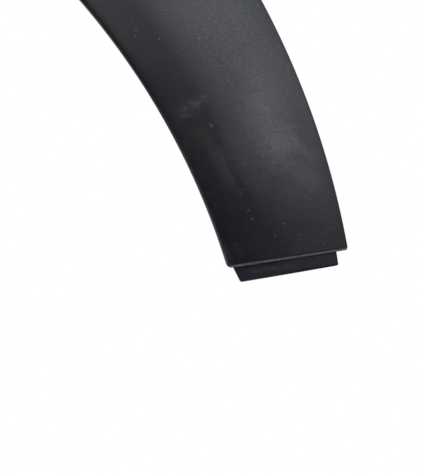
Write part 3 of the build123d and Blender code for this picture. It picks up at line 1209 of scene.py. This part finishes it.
def dried_smears(graph, face, ragged, blotches):
    """Smears, brushed along the first one"""
    slant = SMUDGES[0].turn
    along = face.x * cos(slant) + face.z * sin(slant)
    beside = face.z * cos(slant) - face.x * sin(slant)
    brushed = graph.node("ShaderNodeCombineXYZ", None, [along * 300, beside * 900, 0.0])
    feather = graph.noise(brushed, 1.0, 4.0, 0.7).rise(0.42, 0.66)
    return face.strongest(SMUDGES, ragged * 0.6, 0.1) * (feather * 0.7 + 0.3) * (blotches * 1.2 + 0.3)


def grained_plastic(look, sizes, wheel_z):
    """Black plastic with a fine moulded grain, a dried hazy layer that also paints the highlight, painted
    shade, painted light towards the top, a painted highlight along the end, dust, scratches and a smear
    """
    made = bpy.data.materials.new("grained_plastic")
    graph = Graph(made)
    face = Face(graph, sizes, wheel_z)
    grain = moulded_grain(graph, look, face)
    bloom = graph.noise(face.place, *BLOOM)
    cloud = graph.noise(face.place, *CLOUD) - 0.5
    ragged = graph.noise(face.place, *RAGGED) * 1.8 - 0.9
    blotches = graph.noise(face.place, *BLOTCHES).rise(0.42, 0.62)
    patches = graph.noise(face.place, *PATCHES).rise(0.43, 0.58) * 0.9 + 0.1
    sand = graph.noise(face.place, *SAND).rise(0.53, 0.76) * face.outward
    streaks = wiped_streaks(graph, face)

    # deep is painted shade from the marks above, with the tongue kept dark as well
    deep = face.strongest(PAINTED_SHADES, cloud * 0.8, 0.0).maths("MAXIMUM", face.tongue * 0.8)
    # a hazy layer, and the painted highlight on the slope
    haze_and_highlight = sum(face.masks(HAZE_AND_HIGHLIGHTS, cloud * 0.8, 0.0)) * (cloud * 0.7 + 1.0) * (grain * 2.25)
    films_and_highlight = haze_and_highlight * face.outward * (1 - deep * 0.6) + face.tongue * face.x.rise(0.415, 0.37) * 0.13
    stains = face.strongest(STAINS, cloud, 0.0) * patches
    smears = dried_smears(graph, face, ragged, blotches)
    scratches = face.strongest(SCRATCHES, ragged * 0.3)
    specks = face.strongest(SPECKS, ragged * 0.2)
    scuffs = face.strongest(SCUFFS, ragged * 0.9, 0.0)
    dust = loose_dots(graph, face).maths("MAXIMUM", specks).maths("MAXIMUM", scuffs)

    # random tone of the plastic, paler towards the top as painted light, and darkened by painted shade
    dark = bloom.rise(0.34, 0.68) * 0.5 + 0.1
    pale = bloom.rise(0.30, 0.70) * 0.5 + 0.5
    tone_with_painted_light = (dark * (1 - face.upper) + pale * face.upper) * (1 - deep)
    base = graph.mix(tone_with_painted_light, rgba(look.black), rgba(look.bloom))
    layers = [
        (stains, rgba(look.stain)),
        (sand * SAND_COVER, rgba(look.dust)),
        (films_and_highlight.maths("MINIMUM", 1.0), rgba(look.film_and_highlight)),
        (streaks * STREAK_COVER, rgba(look.smudge)),
        (smears * SMEAR_COVER, graph.mix(face.tongue, rgba(look.smudge), rgba(look.film_and_highlight))),
        (scratches * SCRATCH_COVER, rgba(look.black)),
        # painted highlight along the round of the end
        (face.painted_end_highlight * (blotches * 0.4 + 0.6), rgba(look.painted_end_highlight)),
        (dust * DUST_COVER, rgba(look.dust)),
    ]
    for cover, tint in layers:
        base = graph.mix(cover, base, tint)

    rough = (bloom - 0.5) * 0.06 + look.roughness + dust * 0.25 + smears * 0.15 + streaks * 0.03
    rough = rough + stains * 0.05 - face.rubbed * 0.085
    sparkle = graph.noise(face.place, 0.66 / look.grain_size, 2.0, 0.6).rise(0.42, 0.74)
    sparkle = sparkle * (face.sloped * 0.345 + 0.095) * (face.upper * 0.5 + 0.5)
    relief = grain * (face.sloped * 0.9 + 0.45) * face.grained
    sockets = {
        "Base Color": base,
        "Roughness": rough.maths("MINIMUM", 0.9),
        "IOR": 1.46,
        "Specular Tint": rgba(look.sheen),
        "Coat Weight": sparkle * face.grained * (1 - deep * 0.8),
        "Coat Roughness": 0.36,
        "Normal": graph.bump(look.grain, 0.25 * MM, relief),
    }
    graph.surface(graph.node("ShaderNodeBsdfPrincipled", None, sockets))
    return made


def natural_nylon(look):
    """Milky nylon with faint cloudy patches and a fine dull skin"""
    made = bpy.data.materials.new("clip_nylon")
    graph = Graph(made)
    place = graph.node("ShaderNodeTexCoord", None, None, "Object")
    cloud = graph.noise(place, *NYLON_CLOUD)
    sockets = {
        "Base Color": graph.mix(cloud.rise(0.35, 0.70), rgba(look.nylon), rgba(look.core)),
        "Roughness": (cloud - 0.5) * 0.12 + look.roughness,
        "IOR": 1.53,
        "Subsurface Weight": 0.15,
        "Subsurface Scale": 1.5 * MM,
        "Normal": graph.bump(0.12, 0.1 * MM, graph.noise(place, *NYLON_SKIN)),
    }
    graph.surface(graph.node("ShaderNodeBsdfPrincipled", None, sockets))
    return made


# Stage

WHITE = (1, 1, 1, 1)
# Shares of white that reflections see in the wall behind the trim and in the floor below it.
WALL_SHINE = 0.35
FLOOR_SHINE = 0.15
# Fades from front to back: of the wall by direction and of the floor in metres.
WALL_FADE = (-0.6, 0.6)
FLOOR_FADE = (-0.2, -0.05)
FLOOR_RADIUS = 0.8
FLOOR_RIM = (0.45, 0.78)

# Places that lamps face.
SHOWN_END = (0.355, -0.015, -0.28)
LOW_EDGE = (0.37, -0.02, -0.322)
# Name, power, size in metres, bearing from the place faced as azimuth, elevation and distance,
# that place, and beam in degrees.
LAMPS = [
    ("key", "key_power", (0.5, 0.5), (55.0, 24.5, 1.17), SHOWN_END, 180),
    ("front", "front_power", (0.5, 0.5), (13.0, 36.4, 0.45), SHOWN_END, 180),
    ("far", "far_power", (0.6, 0.6), (-20.0, 34.0, 0.95), (-0.30, -0.015, -0.20), 50),
    ("back", "back_power", (0.6, 0.6), (160.0, 40.0, 1.2), (0.0, 0.0, -0.1), 180),
    ("rim", "rim_power", (0.24, 0.12), (-75.0, -14.0, 0.4), LOW_EDGE, 36),
    ("rim_behind", "rim_power", (0.24, 0.12), (-116.0, -10.0, 0.4), LOW_EDGE, 36),
    ("shoulder", "shoulder_power", (0.18, 0.12), (-21.0, -11.0, 0.5), (0.35, -0.02, -0.25), 120),
    ("bounce", "bounce_power", (0.30, 0.10), (0.0, -55.0, 0.18), (0.385, 0.0, -0.31), 180),
    ("side_bounce", "bounce_power", (0.10, 0.25), (78.0, -33.0, 0.25), (0.42, 0.0, -0.31), 180),
]


def white_room(look):
    """White to the camera, a lit wall behind the trim that shows in reflections, and dim elsewhere"""
    world = bpy.data.worlds.new("white_room")
    graph = Graph(world)
    camera = graph.node("ShaderNodeLightPath", None, None, "Is Camera Ray")
    through = camera.sibling("Is Transmission Ray")
    direction = graph.node("ShaderNodeTexCoord", None, None, "Generated")
    behind = graph.axes(direction)[1].rise(*WALL_FADE)
    shine = camera.sibling("Is Glossy Ray") * behind * WALL_SHINE
    seen = camera.maths("MAXIMUM", through).maths("MAXIMUM", shine)
    lit = behind * (look.backlight - look.fill) + look.fill
    sockets = {"Color": WHITE, "Strength": seen * (1 - lit) + lit}
    background = graph.node("ShaderNodeBackground", None, sockets)
    graph.node("ShaderNodeOutputWorld", None, {"Surface": background})
    bpy.context.scene.world = world


def pale_floor(look, level):
    """A pale disc under the lowest point, which fades out at its rim"""
    bm = bmesh.new()
    middle = Matrix.Translation((0, 0, level))
    bmesh.ops.create_circle(bm, cap_ends=True, segments=96, radius=FLOOR_RADIUS, matrix=middle)
    made = new_object("floor", bm)
    material = bpy.data.materials.new("pale_floor")
    graph = Graph(material)
    place = graph.node("ShaderNodeTexCoord", None, None, "Object")
    x, y, _ = graph.axes(place)
    rim = ((x * x + y * y) ** 0.5).rise(*FLOOR_RIM)
    mirrored = graph.node("ShaderNodeLightPath", None, None, "Is Glossy Ray")
    shine = mirrored * y.rise(*FLOOR_FADE) * FLOOR_SHINE
    paper = mirrored.sibling("Is Camera Ray") * look.paper
    dim = [part * look.floor_sheen for part in look.floor]
    tint = graph.mix(mirrored, rgba(look.floor), rgba(dim))
    pale = graph.node("ShaderNodeBsdfDiffuse", None, {"Color": tint})
    white = graph.node("ShaderNodeEmission", None, {"Color": WHITE, "Strength": 1.0})
    clear = graph.node("ShaderNodeBsdfTransparent", None, {"Color": WHITE})
    sheet = graph.node("ShaderNodeMixShader", None, [shine + paper, pale, white])
    graph.surface(graph.node("ShaderNodeMixShader", None, [rim, sheet, clear]))
    made.data.materials.append(material)


def soft_lamp(look, name, power, size, bearing, faced, beam):
    """A rectangular area lamp that faces a place, set by its bearing from there"""
    azimuth = radians(bearing[0])
    elevation = radians(bearing[1])
    towards = Vector((sin(azimuth) * cos(elevation), -cos(azimuth) * cos(elevation), sin(elevation)))
    data = bpy.data.lights.new(name, "AREA")
    data.shape = "RECTANGLE"
    data.size = size[0]
    data.size_y = size[1]
    data.energy = getattr(look, power)
    data.spread = radians(beam)
    data.color = look.lamp_tint
    lamp = bpy.data.objects.new(name, data)
    bpy.context.scene.collection.objects.link(lamp)
    lamp.location = Vector(faced) + towards * bearing[2]
    lamp.rotation_euler = (-towards).to_track_quat("-Z", "Y").to_euler()
    lamp.visible_camera = False


def photo_camera(look, wheel_z):
    """Level and square to the side view, with the picture's height set in the plane of the trim"""
    data = bpy.data.cameras.new("photo_camera")
    data.sensor_fit = "VERTICAL"
    data.sensor_height = 24
    data.lens = data.sensor_height * look.view_distance / look.view_height
    data.clip_end = 50
    camera = bpy.data.objects.new("photo_camera", data)
    bpy.context.scene.collection.objects.link(camera)
    camera.location = (look.view_x, -look.view_distance, look.view_z + wheel_z)
    camera.rotation_euler = (pi / 2, 0, 0)
    bpy.context.scene.camera = camera


# Operators


def plain(group):
    """The values of a property group as a plain record"""
    names = [name for name in group.bl_rna.properties.keys() if name not in ("rna_type", "name")]
    return SimpleNamespace(**{name: getattr(group, name) for name in names})


def wheel_level(sizes):
    """Height of the wheel axis in the frame, whose lowest point is the far end"""
    return FRAME_BOX[0][2] + sizes.far_end_drop


def finish_piece(piece, sizes, material, node):
    """Set a piece in the frame, shade it and let it stand for its node"""
    piece.data.transform(Matrix.Translation((0, 0, wheel_level(sizes))))
    piece.data.shade_smooth()
    piece.data.set_sharp_from_angle(angle=SHARP_BEND)
    piece.data.materials.clear()
    piece.data.materials.append(material)
    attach(piece, "root")
    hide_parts(node)


class ARCHTRIM_OT_moulding(Operator):
    """Model the one-piece moulding with its tongue, ears, towers, pins and ribs"""

    bl_idname = "archtrim.moulding"
    bl_label = "Model the Moulding"

    def execute(self, context):
        scene = context.scene
        sizes = plain(scene.arch_sizes)
        piece = moulding(sizes, plain(scene.arch_tongue), plain(scene.arch_back))
        look = grained_plastic(plain(scene.arch_plastic), sizes, wheel_level(sizes))
        finish_piece(piece, sizes, look, "arch_moulding")
        return {"FINISHED"}


class ARCHTRIM_OT_clips(Operator):
    """Model the push-in clips in their towers"""

    bl_idname = "archtrim.clips"
    bl_label = "Model the Clips"

    def execute(self, context):
        scene = context.scene
        sizes = plain(scene.arch_sizes)
        piece = clips(sizes, plain(scene.arch_back), plain(scene.arch_clip))
        look = natural_nylon(plain(scene.arch_nylon))
        finish_piece(piece, sizes, look, "panel_clips")
        return {"FINISHED"}


class ARCHTRIM_OT_stage(Operator):
    """Set the camera, lamps, floor and white background"""

    bl_idname = "archtrim.stage"
    bl_label = "Set the Stage"

    def execute(self, context):
        look = plain(context.scene.arch_stage)
        wheel_z = wheel_level(context.scene.arch_sizes)
        context.scene.view_settings.view_transform = "Standard"
        white_room(look)
        pale_floor(look, FRAME_BOX[0][2])
        for lamp in LAMPS:
            soft_lamp(look, *lamp)
        photo_camera(look, wheel_z)
        return {"FINISHED"}


class ARCHTRIM_PT_panel(Panel):
    """Sizes, finishes and steps of the wheel arch trim"""

    bl_idname = "ARCHTRIM_PT_panel"
    bl_label = "Wheel Arch Trim"
    bl_space_type = "VIEW_3D"
    bl_region_type = "UI"
    bl_category = "Arch Trim"

    def draw(self, context):
        for name, step, groups in PANEL_ROWS:
            box = self.layout.box()
            box.label(text=name)
            for group in groups:
                values = getattr(context.scene, group)
                for key in plain(values).__dict__:
                    box.prop(values, key)
            box.operator(step)


PANEL_ROWS = [
    ("Moulding", "archtrim.moulding", ("arch_sizes", "arch_tongue", "arch_back", "arch_plastic")),
    ("Clips", "archtrim.clips", ("arch_clip", "arch_nylon")),
    ("Stage", "archtrim.stage", ("arch_stage",)),
]

GROUPS = {
    "arch_sizes": ArchSizes,
    "arch_tongue": TongueSizes,
    "arch_back": BackSizes,
    "arch_clip": ClipSizes,
    "arch_plastic": PlasticLook,
    "arch_nylon": NylonLook,
    "arch_stage": StageLook,
}

CLASSES = [*GROUPS.values(), ARCHTRIM_OT_moulding, ARCHTRIM_OT_clips, ARCHTRIM_OT_stage, ARCHTRIM_PT_panel]


def register():
    for made in CLASSES:
        bpy.utils.register_class(made)
    for name, group in GROUPS.items():
        setattr(bpy.types.Scene, name, PointerProperty(type=group))


def unregister():
    for name in GROUPS:
        delattr(bpy.types.Scene, name)
    for made in reversed(CLASSES):
        bpy.utils.unregister_class(made)


def main():
    register()
    bpy.ops.archtrim.moulding()
    bpy.ops.archtrim.clips()
    bpy.ops.archtrim.stage()


if __name__ == "__main__":
    main()
